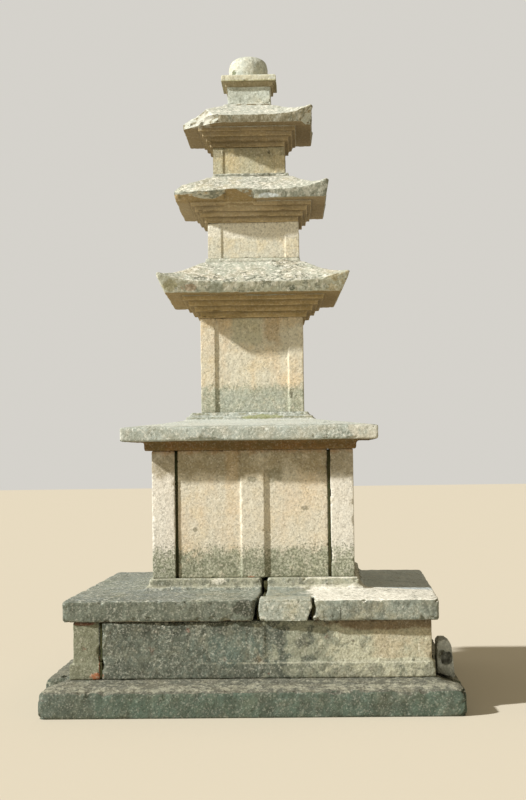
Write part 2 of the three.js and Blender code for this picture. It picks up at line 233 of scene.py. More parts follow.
def patches(tree, place, size, low, high, most=1.0):
    """A mask of cloudy patches of one size, which rises from 0 to most between low and high."""
    scale = add(tree, "ShaderNodeMath", {0: 1.0, 1: size}, operation="DIVIDE")[0]
    cloud = add(tree, "ShaderNodeTexNoise", {"Vector": place, "Scale": scale, "Detail": 4.0})[0]
    edge = {"Value": cloud, "From Min": low, "From Max": high, "To Max": most}
    return add(tree, "ShaderNodeMapRange", edge, **SOFT)[0]


# %% First stage: how exposed each point is
def exposure(tree, here, outwards, worn):
    """Masks for the arrises and the crevices, from how far a point lies outside its blurred place."""
    proud = add(tree, "ShaderNodeVectorMath", {0: here, 1: worn}, operation="SUBTRACT")[0]
    exposed = add(tree, "ShaderNodeVectorMath", {0: proud, 1: outwards}, operation="DOT_PRODUCT")["Value"]
    ridge = {"Value": exposed, "From Min": 0.5 * MM, "From Max": 6 * MM}
    hollow = {"Value": exposed, "From Min": -0.5 * MM, "From Max": -6 * MM}
    return [add(tree, "ShaderNodeMapRange", ends, **SOFT)[0] for ends in (ridge, hollow)]


def rained_on(tree, height, shelter):
    """A mask for what lies above the level of the shelter."""
    over = add(tree, "ShaderNodeMath", {0: height, 1: shelter}, operation="SUBTRACT")[0]
    ends = {"Value": over, "From Min": -4 * MM, "From Max": 12 * MM}
    return add(tree, "ShaderNodeMapRange", ends, **SOFT)[0]


# %% Second stage: where age leaves each point
SLAB_TO_FLAKE = 4.5
CRISP = 0.02  # how far the noise rises over the edge of a flake


def aged_place(tree, given, here, seeded, rained, places):
    """The place that age leaves to a point, out of its three blurred places."""
    fresh, worn, broken = places
    age = patches(tree, seeded, given["Wear patch"], 0.38, 0.62, given["Wear"])
    age = add(tree, "ShaderNodeMath", {0: age, 1: rained}, operation="MULTIPLY")[0]
    rounded = add(tree, "ShaderNodeMix", {0: age, 4: fresh, 5: worn}, data_type="VECTOR")[1]

    # Small flakes and larger slabs come off, and only where rain falls.
    level = given["Chip level"]
    edge = add(tree, "ShaderNodeMath", {0: level, 1: CRISP}, operation="ADD")[0]
    slab = add(tree, "ShaderNodeMath", {0: given["Chip size"], 1: SLAB_TO_FLAKE}, operation="MULTIPLY")[0]
    flakes, slabs = (patches(tree, seeded, size, level, edge) for size in (given["Chip size"], slab))
    flaked = add(tree, "ShaderNodeMath", {0: flakes, 1: slabs}, operation="MAXIMUM")[0]
    flaked = add(tree, "ShaderNodeMath", {0: flaked, 1: rained}, operation="MULTIPLY")[0]

    # A sharp tip is what the longest blur moves furthest.
    gone = add(tree, "ShaderNodeVectorMath", {0: here, 1: broken}, operation="DISTANCE")["Value"]
    blunt_to = add(tree, "ShaderNodeMath", {0: given["Blunt from"], 1: 1.3}, operation="MULTIPLY")[0]
    tip = {"Value": gone, "From Min": given["Blunt from"], "From Max": blunt_to}
    tip = add(tree, "ShaderNodeMapRange", tip, **SOFT)[0]
    lost = add(tree, "ShaderNodeMath", {0: flaked, 1: tip}, operation="MAXIMUM")[0]
    return add(tree, "ShaderNodeMix", {0: lost, 4: rounded, 5: broken}, data_type="VECTOR")[1]


# %% Third stage: rough faces and true beds
SWELL_MM = 280


def off_the_beds(tree, given, height, facing):
    """A mask that is 0 on the level beds at the foot and the head of a stone, and 1 elsewhere."""
    level = add(tree, "ShaderNodeMath", {0: facing}, operation="ABSOLUTE")[0]
    flat = add(tree, "ShaderNodeMapRange", {"Value": level, "From Min": 0.85, "From Max": 0.97}, **SOFT)[0]
    free = 1.0
    for bed in ("Bottom bed", "Top bed"):
        above = add(tree, "ShaderNodeMath", {0: height, 1: given[bed]}, operation="SUBTRACT")[0]
        away = add(tree, "ShaderNodeMath", {0: above}, operation="ABSOLUTE")[0]
        near = {"Value": away, "From Min": 12 * MM, "From Max": 6 * MM, "To Max": flat}
        near = add(tree, "ShaderNodeMapRange", near, **SOFT)[0]
        off = add(tree, "ShaderNodeMath", {0: 1.0, 1: near}, operation="SUBTRACT")[0]
        free = add(tree, "ShaderNodeMath", {0: off, 1: free}, operation="MULTIPLY")[0]
    return free


def roughened(tree, given, seeded, outwards, free):
    """How far each point moves inwards: slow waves, and pits where grains have fallen out."""
    swell = patches(tree, seeded, SWELL_MM * MM, 0.25, 0.75, given["Waves"])
    pitting = patches(tree, seeded, given["Grain loss"], 0.2, 0.8, given["Roughness"])
    depth = add(tree, "ShaderNodeMath", {0: swell, 1: pitting}, operation="ADD")[0]
    depth = add(tree, "ShaderNodeMath", {0: depth, 1: free}, operation="MULTIPLY")[0]
    inwards = add(tree, "ShaderNodeMath", {0: depth, 1: -1.0}, operation="MULTIPLY")[0]
    return add(tree, "ShaderNodeVectorMath", {0: outwards, "Scale": inwards}, operation="SCALE")[0]


# %% The weathering tree, from its three stages
def weathering_tree():
    """A node tree that wears a finely meshed stone."""
    output = ("Stone", "NodeSocketGeometry")
    tree, given = open_tree("Weathered stone", "GeometryNodeTree", WEATHER_INPUTS, output)
    here = add(tree, "GeometryNodeInputPosition")[0]
    outwards = add(tree, "GeometryNodeInputNormal")["Normal"]
    seeded = add(tree, "ShaderNodeVectorMath", {0: here, 1: given["Seed"]}, operation="ADD")[0]
    facing = add(tree, "ShaderNodeSeparateXYZ", {0: outwards})["Z"]
    height = add(tree, "ShaderNodeSeparateXYZ", {0: here})["Z"]

    places = [blurred(tree, here, given[f"{age} steps"]) for age in ("Fresh", "Worn", "Break")]
    arris, crevice = exposure(tree, here, outwards, places[1])
    rained = rained_on(tree, height, given["Shelter"])
    place = aged_place(tree, given, here, seeded, rained, places)
    free = off_the_beds(tree, given, height, facing)
    moved = roughened(tree, given, seeded, outwards, free)

    stone = given["Stone"]
    for name, value in (("wear_and_highlight", arris), ("crevice", crevice)):
        kept = {"Geometry": stone, "Name": name, "Value": value}
        stone = add(tree, "GeometryNodeStoreNamedAttribute", kept, data_type="FLOAT", domain="POINT")[0]
    stone = add(tree, "GeometryNodeSetPosition", {"Geometry": stone, "Position": place, "Offset": moved})[0]
    stone = add(tree, "GeometryNodeSetShadeSmooth", {"Geometry": stone})[0]
    stone = add(tree, "GeometryNodeRealizeInstances", {"Geometry": stone})[0]
    stone = add(tree, "GeometryNodeSetMaterial", {"Geometry": stone, "Material": given["Granite"]})[0]
    add(tree, "NodeGroupOutput", {"Stone": stone})
    return tree


WEATHER = weathering_tree()
print("weathering tree:", len(WEATHER.nodes), "nodes")

# %% [markdown]
# ## From a dressed stone to a worn one
#
# A worn stone starts as a copy of the dressed one. Its larger losses are cut away first, while the
# mesh is still light: a shell-shaped scar where a lump has come out, and a rough plane where a
# corner has split off. A voxel remesh then turns the stone into small even squares. The weathering
# tree runs, and a thinning pass takes back the squares that flat faces don't need. All of this is
# one stack of modifiers, so Blender works it out once. The result becomes a plain mesh, stands in
# the same place, and replaces the dressed stone.


# %% Cutters for what has broken off
BALL_LUMPS = 1.7  # lumps over a ball's radius
CLEFT_SQUARES = 24
CLEFT_LUMPS_A_MM = 0.012
TIP_BLOCK_MM = 160


def rough_ball(centre, reach, seed, rough=0.18):
    """A lumpy ball, in millimetres, that leaves a shell-shaped scar where it is cut away."""
    ball = bmesh.new()
    bmesh.ops.create_icosphere(ball, subdivisions=4, radius=1.0)
    for vertex in ball.verts:
        bump = 1 + rough * noise.fractal(vertex.co * BALL_LUMPS + Vector((seed, 0, 0)), 1.0, 2.0, 4)
        scaled = Vector([c * r * bump for c, r in zip(vertex.co, reach)])
        vertex.co = (scaled + Vector(centre)) * MM
    return ball


def rough_cleft(point, faces, size, seed, rough):
    """A block, in millimetres, whose near side is a rough plane through point, facing outwards."""
    block = bmesh.new()
    squares = {"x_segments": CLEFT_SQUARES, "y_segments": CLEFT_SQUARES}
    bmesh.ops.create_grid(block, size=size / 2, **squares)
    far = bmesh.ops.extrude_face_region(block, geom=block.faces[:])
    for vertex in far["geom"]:
        if isinstance(vertex, bmesh.types.BMVert):
            vertex.co.z += size
    bmesh.ops.recalc_face_normals(block, faces=block.faces)
    aim = Vector(faces).to_track_quat("Z", "Y").to_matrix()
    for vertex in block.verts:
        if vertex.co.z < size / 2:
            spot = vertex.co * CLEFT_LUMPS_A_MM + Vector((seed, seed, 0))
            vertex.co.z += rough * noise.fractal(spot, 0.9, 2.0, 5)
        vertex.co = (aim @ vertex.co + Vector(point)) * MM
    return block


def tips_off(node, depth, seed):
    """Rough planes that take the sharp tips off a roof's four corners, depth mm in from each tip."""
    places = [vertex.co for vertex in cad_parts[node].data.vertices]
    cuts = []
    for x, y in ((-1, -1), (1, -1), (1, 1), (-1, 1)):
        faces = Vector((x, y, 0.9)).normalized()
        tip = max(places, key=faces.dot) / MM
        cut = rough_cleft(tip - faces * depth, faces, TIP_BLOCK_MM, seed + x + 2 * y, rough=4)
        cuts.append(cut)
    return cuts


def as_object(name, shape):
    """Puts a mesh under construction into the scene as an object."""
    mesh = bpy.data.meshes.new(name)
    shape.to_mesh(mesh)
    shape.free()
    made = bpy.data.objects.new(name, mesh)
    scene.collection.objects.link(made)
    return made


# %% Wearing one stone
WELD_MM = 0.02
SEED_STEP = 3.7


def wear_stone(node, granite, look, voxel, keep, losses=()):
    """Breaks and ages one stone, remeshed in squares of voxel mm. Keep is the share of them that stays."""
    shape = bmesh.new()
    shape.from_mesh(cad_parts[node].data)
    bmesh.ops.remove_doubles(shape, verts=shape.verts, dist=WELD_MM * MM)
    piece = as_object(node + "_worn", shape)

    cutters = [as_object(f"{node}_loss_{index}", loss) for index, loss in enumerate(losses)]
    for cutter in cutters:
        cut = piece.modifiers.new("loss", "BOOLEAN")
        cut.operation, cut.solver, cut.object = "DIFFERENCE", "EXACT", cutter
    squares = piece.modifiers.new("squares", "REMESH")
    squares.mode, squares.voxel_size = "VOXEL", voxel * MM
    weather = piece.modifiers.new("weather", "NODES")
    weather.node_group = WEATHER
    low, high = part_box(node)
    seed = SEED_STEP * sorted(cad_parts).index(node)
    values = {**AGE, "Bottom bed": low.z, "Top bed": high.z, "Seed": seed, "Granite": granite, **look}
    for socket in WEATHER.interface.items_tree:
        if socket.in_out == "INPUT" and socket.name in values:
            weather[socket.identifier] = values[socket.name]
    thin = piece.modifiers.new("thin", "DECIMATE")
    thin.ratio = keep

    now = bpy.context.evaluated_depsgraph_get()
    worn = piece.evaluated_get(now)
    plain = bpy.data.meshes.new_from_object(worn, preserve_all_data_layers=True, depsgraph=now)
    plain.name = piece.name
    piece.modifiers.clear()
    piece.data = plain
    for cutter in cutters:
        bpy.data.objects.remove(cutter)
    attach(piece, "root")
    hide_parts(node)
    print(f"{piece.name}: {sum(len(p.vertices) - 2 for p in plain.polygons)} triangles")


# %% [markdown]
# ## What granite looks like
#
# Granite is quartz, feldspar and dark mica in grains of 2 to 6 mm. From ten metres the grains run
# together into a warm cream with a fine pepper. On top of that lie the coats that age has left:
# grey-green lichen where the stone stays damp, a dark crust where rain runs, pale spots of crust
# lichen, and a warm brown skin under the eaves, where no rain reaches.
#
# Each coat is a cloud of patches of one size, kept to one region of the stone, such as its foot or
# the faces that look up. It could be painted by hand, but then the back would need painting too. It
# is a node group instead, used once for every coat, so each material is a short list of what has
# happened to the stone. A few coats are not age: they are painted shade and painted light, laid
# where a shadow falls or where light catches an arris.


# %% One coat of age, and in a few places of painted light and shade, as a node group
COAT_INPUTS = [(name, "NodeSocketColor") for name in ("Under", "Coat")]
COAT_INPUTS += [(name, "NodeSocketVector") for name in ("Place", "Stretch")]
COAT_NUMBERS = ("Patches a metre", "Seed", "Where", "Reach", "Level", "Soft", "Share")
COAT_INPUTS += [(name, "NodeSocketFloat") for name in COAT_NUMBERS]


def coat_of_age_and_light():
    """A node group that lays a patchy coat on a colour. Where is 1 in its region and 0 elsewhere."""
    output = ("Colour", "NodeSocketColor")
    tree, given = open_tree("Coat of age and light", "ShaderNodeTree", COAT_INPUTS, output)
    placed = {"Vector": given["Place"], "Location": given["Seed"], "Scale": given["Stretch"]}
    placed = add(tree, "ShaderNodeMapping", placed)[0]
    cloud = {"Vector": placed, "Scale": given["Patches a metre"], "Detail": 6.0, "Roughness": 0.68}
    cloud = add(tree, "ShaderNodeTexNoise", cloud)[0]
    outside = add(tree, "ShaderNodeMath", {0: given["Where"], 1: 1.0}, operation="SUBTRACT")[0]
    held = {0: outside, 1: given["Reach"], 2: cloud}
    cover = add(tree, "ShaderNodeMath", held, operation="MULTIPLY_ADD")[0]
    full = add(tree, "ShaderNodeMath", {0: given["Level"], 1: given["Soft"]}, operation="ADD")[0]
    edge = {"Value": cover, "From Min": given["Level"], "From Max": full, "To Max": given["Share"]}
    mask = add(tree, "ShaderNodeMapRange", edge, **SOFT)[0]
    laid = {0: mask, 6: given["Under"], 7: given["Coat"]}
    laid = add(tree, "ShaderNodeMix", laid, data_type="RGBA")[2]
    add(tree, "NodeGroupOutput", {"Colour": laid})
    return tree


COAT_OF_AGE_AND_LIGHT = coat_of_age_and_light()
print("coat of age and light:", len(COAT_OF_AGE_AND_LIGHT.nodes), "nodes")


# %% What a coat is, in a maker's words
class Coat(NamedTuple):
    """One coat, of age in most places and of painted light and shade in a few. Its patches are size
    millimetres wide, and level says how much they cover.
    """

    colour: str
    size: float
    level: float = 0.5  # 0.4 covers most of the region, 0.5 half, 0.6 a tenth
    soft: float = 0.1
    share: float = 0.8
    where: tuple = ()
    reach: float = 0.45
    stretch: tuple = (1, 1, 1)


def stain_and_shade(colour, size, level, soft, share, centre, reach, stretch=(1, 1, 1)):
    """A coat in one place only, for a stain and in a few places for a painted shade, which dies away from
    centre over a reach in x, y and z, in mm.
    """
    return Coat(colour, size, level, soft, share, (("spot", centre, reach),), stretch=stretch)


GRAIN_MM = 9  # Real grains are 2 to 6 mm. They are drawn coarser, so that they show at all.
FLECK_MM = 14  # clusters of grains, which mottle the colour
LUMP_MM = 38  # the shallow waves that a point chisel leaves
print("grains of", GRAIN_MM, "mm, flecks of", FLECK_MM, "mm and lumps of", LUMP_MM, "mm")


# %% What a granite reads from its stone
class Surface(NamedTuple):
    """A granite's node tree, and the sockets that tell where on the stone a point is."""

    tree: bpy.types.NodeTree
    here: bpy.types.NodeSocket
    along: dict
    facing: bpy.types.NodeSocket
    kept: dict


def read_surface(tree):
    """Adds the nodes that read the stone's own coordinates, and what its weathering has kept."""
    given = add(tree, "ShaderNodeTexCoord")
    along = dict(zip("xyz", add(tree, "ShaderNodeSeparateXYZ", {0: given["Object"]})))
    facing = add(tree, "ShaderNodeSeparateXYZ", {0: given["Normal"]})["Z"]
    kept = {age: add(tree, "ShaderNodeAttribute", attribute_name=age)["Fac"] for age in ("wear_and_highlight", "crevice")}
    return Surface(tree, given["Object"], along, facing, kept)


# %% Where on a stone a coat lies, in a maker's words
FACING = {"up": (0.3, 0.7), "down": (-0.6, -0.85)}
EDGE_MM = 8


def below_edge(stone, points):
    """What lies below a broken edge, which runs from left to right through points (x, z) in mm."""
    (left, _), (right, _) = points[0], points[-1]
    low, high = min(z for _, z in points), max(z for _, z in points)
    across = {"Value": stone.along["x"], "From Min": left * MM, "From Max": right * MM}
    across = add(stone.tree, "ShaderNodeMapRange", across)[0]
    line = add(stone.tree, "ShaderNodeFloatCurve", {"Value": across})[0]
    curve = line.node.mapping.curves[0]
    while len(curve.points) < len(points):
        curve.points.new(0.5, 0.5)
    for point, (x, z) in zip(curve.points, points):
        point.location = (x - left) / (right - left), (z - low) / (high - low)
        point.handle_type = "VECTOR"
    line.node.mapping.update()
    edge = {"Value": line, "To Min": low * MM, "To Max": high * MM}
    edge = add(stone.tree, "ShaderNodeMapRange", edge)[0]
    above = add(stone.tree, "ShaderNodeMath", {0: stone.along["z"], 1: edge}, operation="SUBTRACT")[0]
    return {"Value": above, "From Min": EDGE_MM * MM, "From Max": -EDGE_MM * MM}


def around(stone, centre, reach):
    """What lies around a centre, within a reach along each axis, both in mm."""
    centre, reach = (tuple(c * MM for c in size) for size in (centre, reach))
    away = add(stone.tree, "ShaderNodeVectorMath", {0: stone.here, 1: centre}, operation="SUBTRACT")[0]
    away = add(stone.tree, "ShaderNodeVectorMath", {0: away, 1: reach}, operation="DIVIDE")[0]
    away = add(stone.tree, "ShaderNodeVectorMath", {0: away}, operation="LENGTH")["Value"]
    return {"Value": away, "From Min": 1.0, "From Max": 0.35}


def region(stone, kind, *sizes):
    """A soft mask for a part of the stone, from words such as "z", 860, 1100, in millimetres."""
    if kind in stone.kept:
        return stone.kept[kind]
    if kind in stone.along:
        ends = {"Value": stone.along[kind], "From Min": sizes[0] * MM, "From Max": sizes[1] * MM}
    elif kind in FACING:
        ends = {"Value": stone.facing, "From Min": FACING[kind][0], "From Max": FACING[kind][1]}
    elif kind == "side":
        level = add(stone.tree, "ShaderNodeMath", {0: stone.facing}, operation="ABSOLUTE")[0]
        ends = {"Value": level, "From Min": 0.7, "From Max": 0.4}
    elif kind == "cloud":
        size, low, high = sizes
        cloud = {"Vector": stone.here, "Scale": 1 / (size * MM), "Detail": 3.0}
        cloud = add(stone.tree, "ShaderNodeTexNoise", cloud)[0]
        ends = {"Value": cloud, "From Min": low, "From Max": high}
    elif kind == "below":
        ends = below_edge(stone, sizes)
    else:
        ends = around(stone, *sizes)
    return add(stone.tree, "ShaderNodeMapRange", ends, **SOFT)[0]


# %% The colour of a granite: three tones in slow clouds, then its coats
def lay_coats(stone, tones, coats):
    """Lays the coats on a stone of three tones, from the bottom up."""
    first, warm, cool = tones
    colour = linear(first)
    clouds = [Coat(warm, 520, 0.40, 0.22, 1.0), Coat(cool, 170, 0.45, 0.23, 1.0)]
    for index, coat in enumerate([*clouds, *coats]):
        where = 1.0
        for words in coat.where:
            both = {0: where, 1: region(stone, *words)}
            where = add(stone.tree, "ShaderNodeMath", both, operation="MULTIPLY")[0]
        laid = {
            "Under": colour,
            "Coat": linear(coat.colour),
            "Place": stone.here,
            "Stretch": coat.stretch,
            "Patches a metre": 1 / (coat.size * MM),
            "Seed": 5.0 + 3.1 * index,
            "Where": where,
            "Reach": coat.reach,
            "Level": coat.level - coat.soft / 2,
            "Soft": coat.soft,
            "Share": coat.share,
        }
        colour = add(stone.tree, "ShaderNodeGroup", laid, node_tree=COAT_OF_AGE_AND_LIGHT)[0]
    return colour


# %% The grain of a granite: dark mica, pale feldspar, mottling, and dirt with painted shade in the crevices
def show_grain(stone, colour, grain, fleck, pepper, mottle):
    """Lays the grain over a colour. Mica is one grain in about five, and feldspar one in four."""
    tree = stone.tree
    mica = {"Value": grain["Red"], "From Min": 0.26, "From Max": 0.10, "To Max": 0.55 * pepper}
    mica = add(tree, "ShaderNodeMapRange", mica, **SOFT)[0]
    colour = add(tree, "ShaderNodeMix", {0: mica, 6: colour, 7: linear("#3a372b")}, data_type="RGBA")[2]
    spar = {"Value": grain["Green"], "From Min": 0.72, "From Max": 0.95, "To Max": 0.45 * pepper}
    spar = add(tree, "ShaderNodeMapRange", spar, **SOFT)[0]
    colour = add(tree, "ShaderNodeMix", {0: spar, 6: colour, 7: linear("#f6f1e2")}, data_type="RGBA")[2]

    tint = {"Value": fleck, "From Min": 0.3, "From Max": 0.7, "To Min": 1 - mottle, "To Max": 1 + mottle}
    tint = add(tree, "ShaderNodeMapRange", tint)[0]
    tint = add(tree, "ShaderNodeCombineColor", {0: tint, 1: tint, 2: tint})[0]
    tinted = {0: 1.0, 6: colour, 7: tint}
    colour = add(tree, "ShaderNodeMix", tinted, data_type="RGBA", blend_type="MULTIPLY")[2]
    # Crevices are darkened: partly dirt, partly painted shade where less light reaches.
    crevice_dirt_and_shade = add(tree, "ShaderNodeMath", {0: stone.kept["crevice"], 1: 0.6}, operation="MULTIPLY")[0]
    return add(tree, "ShaderNodeMix", {0: crevice_dirt_and_shade, 6: colour, 7: linear("#3f3623")}, data_type="RGBA")[2]


# %% One granite, matt and rough, from its tones, its coats and its grain
RELIEF_MM = 3


def granite(name, tones, coats=(), pepper=0.3, grit=1.0, mottle=0.16):
    """A granite material. Pepper is the strength of its grain, and grit the depth of its relief."""
    material = bpy.data.materials.new(name)
    material.use_nodes = True
    tree = material.node_tree
    tree.nodes.clear()
    stone = read_surface(tree)
    here = stone.here
    grain = add(tree, "ShaderNodeTexVoronoi", {"Vector": here, "Scale": 1 / (GRAIN_MM * MM)})["Color"]
    grain = add(tree, "ShaderNodeSeparateColor", {0: grain})
    fleck = {"Vector": here, "Scale": 1 / (FLECK_MM * MM), "Detail": 3.0, "Roughness": 0.7}
    fleck = add(tree, "ShaderNodeTexNoise", fleck)[0]
    lump = {"Vector": here, "Scale": 1 / (LUMP_MM * MM), "Detail": 4.0}
    lump = add(tree, "ShaderNodeTexNoise", lump)[0]
    colour = lay_coats(stone, tones, coats)
    colour = show_grain(stone, colour, grain, fleck, pepper, mottle)

    # The relief of the surface: flecks, lumps, and the flat faces of the grains.
    height = add(tree, "ShaderNodeMath", {0: lump, 1: 1.5, 2: fleck}, operation="MULTIPLY_ADD")[0]
    height = add(tree, "ShaderNodeMath", {0: grain["Blue"], 1: 0.27, 2: height}, operation="MULTIPLY_ADD")[0]
    relief = {"Strength": 0.8, "Distance": RELIEF_MM * MM * grit, "Height": height}
    bump = add(tree, "ShaderNodeBump", relief)[0]
    surface = {"Base Color": colour, "Roughness": 0.88, "Specular IOR Level": 0.3, "Normal": bump}
    add(tree, "ShaderNodeOutputMaterial", {0: add(tree, "ShaderNodeBsdfPrincipled", surface)[0]})
    print("made", name, "with", len(coats), "coats")
    return material


# %% [markdown]
# ## The shafts
#
# The three bodies are cream granite, pecked flat. The roofs shelter them, so they are the cleanest
# stones: warm cream in the open, a little browner under the corbels, and green only at the foot of
# the lowest one, where rain splashes off the capstone. Colour could follow from height alone, but
# rain and shade leave no straight lines, so each coat breaks up into patches where its region ends.

# %% The lowest shaft's granite, pecked and sheltered: cream to the eye, with a fine pepper
PECKED = {"pepper": 0.42, "mottle": 0.2}
body_1_granite = granite(
    "cream granite, pecked, green at the foot",
    ("#d6d0bd", "#d2c7ac", "#cecab8"),
    [
        Coat("#d6b48a", 150, 0.57, 0.24, 0.3, stretch=(1, 1, 0.4)),
        Coat("#b79d70", 90, 0.44, 0.3, 0.4, where=(("z", 2340, 2490),)),
        Coat("#b3b49c", 120, 0.34, 0.3, 0.6, where=(("x", -190, -90), ("x", 110, 20), ("z", 2230, 2360))),
        Coat("#97835f", 120, 0.32, 0.3, 0.5, where=(("x", 50, 110), ("x", 225, 150), ("z", 2230, 2420))),
        Coat("#b39a6e", 120, 0.34, 0.3, 0.2, where=(("x", -250, -215), ("x", -90, -190), ("z", 2300, 2440))),
        Coat("#d8bc92", 120, 0.36, 0.3, 0.25, where=(("x", 50, 120), ("x", 240, 160), ("z", 2060, 2180))),
        Coat("#abb09f", 45, 0.40, 0.3, 0.8, where=(("z", 2130, 1990),)),
        Coat("#777d66", 14, 0.50, 0.06, 0.5, where=(("z", 2190, 2010),)),
        Coat("#adb6ae", 60, 0.40, 0.3, 0.4, where=(("x", -252, -210), ("x", 252, 190), ("z", 2090, 1980))),
        stain_and_shade("#5b5a44", 14, 0.42, 0.1, 0.7, (252, -344, 1985), (26, 30, 60)),
    ],
    **PECKED,
)

# %% The two upper shafts: the same cream, dustier with height
body_2_granite = granite(
    "cream granite, pecked",
    ("#d1cdbe", "#cfc6ac", "#cac9ba"),
    [
        Coat("#d3b48c", 140, 0.57, 0.24, 0.2, stretch=(1, 1, 0.5)),
        # A paler band at the top, where the second roof's shadow falls: painted light in that shade.
        Coat("#e2dfd2", 160, 0.34, 0.2, 0.7, where=(("z", 3020, 3060),)),
    ],
    **PECKED,
)
body_3_granite = granite(
    "cream granite, pecked, dusty",
    ("#c3bc9d", "#c0b491", "#b5b299"),
    [
        Coat("#c7a877", 110, 0.56, 0.24, 0.2, stretch=(1, 1, 0.5)),
        # A darker band at the top, where the third roof's shadow falls: painted shade.
        Coat("#8e8973", 90, 0.40, 0.2, 0.7, where=(("z", 3570, 3620),)),
        stain_and_shade("#4d4a36", 16, 0.40, 0.1, 0.8, (124, -250, 3632), (20, 60, 24)),
    ],
    **PECKED,
)

# %% [markdown]
# ## The roofs
#
# A roof stone has three skins. Its top is bleached by sun and mottled by crust lichen, in worm-like
# patches of 10 to 25 mm. The face of its eave is greyer, because water hangs there before it drops.
# Below the eave everything keeps the warm brown skin that granite gets where it never rains.
#
# The skins part at the level of the soffit, so one function makes all three roofs' granites from
# that level, and each roof then adds the marks of its own.


# %% The roofs' granites, bleached and lichened: pale and mottled above, plain brown below
SOFFIT_MM = {"roof_1": 2641, "roof_2": 3276, "roof_3": 3793}


def roof_granite(name, soffit, tones, eave, under, marks=(), mottling=1.0):
    """The granite of one roof stone, with its brown skin below the soffit's level in mm."""
    above = ("z", soffit - 2, soffit + 10)
    below = ("z", soffit + 2, soffit - 10)
    top = (("up",), above)
    face = (("side",), above)
    patchy = ("cloud", 240, 0.38, 0.58)
    return granite(
        name,
        tones,
        [
            Coat("#8b8d7c", 90, 0.50, 0.20, 0.45 * mottling, where=top),
            Coat("#5f6357", 27, 0.51, 0.06, 0.8 * mottling, where=(*top, patchy)),
            Coat("#f0ede2", 24, 0.54, 0.08, 0.6, where=top),
            Coat(eave, 120, 0.30, 0.20, 0.9, where=face),
            Coat("#565a4b", 44, 0.50, 0.10, 0.6, where=(*face, patchy), stretch=(1, 1, 0.5)),
            Coat("#d9d7c9", 32, 0.54, 0.10, 0.6 * mottling, where=face, stretch=(1, 1, 0.6)),
            Coat("#dedccf", 60, 0.42, 0.12, 0.7 * mottling, where=(above, ("wear_and_highlight",))),
            Coat(under, 300, 0.15, 0.15, 1.0, where=(below,), reach=0.6),
            Coat(under, 300, 0.15, 0.15, 1.0, where=(("down",),), reach=0.6),
            Coat("#75653f", 110, 0.50, 0.20, 0.4, where=(below,), stretch=(0.4, 0.4, 1)),
            Coat("#b9a47a", 70, 0.54, 0.20, 0.4, where=(below,), stretch=(0.4, 0.4, 1)),
            # Pale arrises below the soffit, where the weather keeps them fresh: painted highlight.
            Coat("#c0ad84", 300, 0.2, 0.2, 0.5, where=(below, ("wear_and_highlight",)), reach=0.6),
            Coat("#6b5835", 300, 0.2, 0.2, 0.5, where=(("down",),), reach=0.6),
            *marks,
        ],
        pepper=0.2,
        mottle=0.15,
    )


# %% First roof: the most mottled top, and lichen in many colours along its eave
roof_1_granite = roof_granite(
    "pale granite, lichened, first roof",
    SOFFIT_MM["roof_1"],
    ("#bdbbac", "#b8b19c", "#aeb3a6"),
    "#b2b5a5",
    "#a8946a",
    [
        stain_and_shade("#8f8a62", 40, 0.40, 0.15, 0.6, (-525, -600, 2700), (80, 90, 60)),
        stain_and_shade("#a8917a", 26, 0.40, 0.12, 0.6, (-400, -600, 2680), (90, 90, 40)),
        stain_and_shade("#8e9385", 90, 0.30, 0.30, 0.8, (-230, -600, 2680), (80, 90, 60)),
        stain_and_shade("#d6d5c8", 30, 0.42, 0.30, 0.7, (-145, -600, 2680), (60, 90, 44)),
        stain_and_shade("#46503f", 22, 0.44, 0.08, 0.8, (280, -600, 2667), (50, 90, 30)),
        Coat("#a0926a", 60, 0.44, 0.12, 0.6, where=(("x", 380, 520), ("side",))),
        stain_and_shade("#3a3827", 40, 0.36, 0.1, 0.85, (-430, -560, 2616), (50, 90, 22)),
        stain_and_shade("#9c5837", 30, 0.34, 0.1, 0.8, (-455, -540, 2597), (26, 80, 14)),
    ],
)

# %% Second roof. Where its eave broke off, the pale crust ends along this edge, and brown stone shows, darkened with painted shade where the break looks down.
break_edge = ((-600, 3335), (-512, 3328), (-393, 3309), (-327, 3291), (-281, 3285), (-228, 3289))
break_edge += ((-168, 3318), (-154, 3336), (-115, 3350), (-88, 3344), (-23, 3312), (36, 3284), (80, 3240))
ROOF_2_BREAK = (("below", *break_edge), ("y", -300, -330), ("z", 3262, 3274))
roof_2_granite = roof_granite(
    "pale granite, lichened, second roof",
    SOFFIT_MM["roof_2"],
    ("#bfc0b2", "#bab5a0", "#b1b4a8"),
    "#787b6d",
    "#b5a687",
    [
        # Brown below the break: broken stone, with painted shade.
        Coat("#93805a", 24, 0.26, 0.14, 0.95, where=ROOF_2_BREAK, reach=1.0),
        stain_and_shade("#5f5a3a", 34, 0.44, 0.14, 0.7, (-500, -480, 3296), (120, 120, 46)),
        stain_and_shade("#c6d0d4", 40, 0.36, 0.2, 0.7, (120, -505, 3295), (110, 70, 28)),
    ],
    mottling=0.55,
)

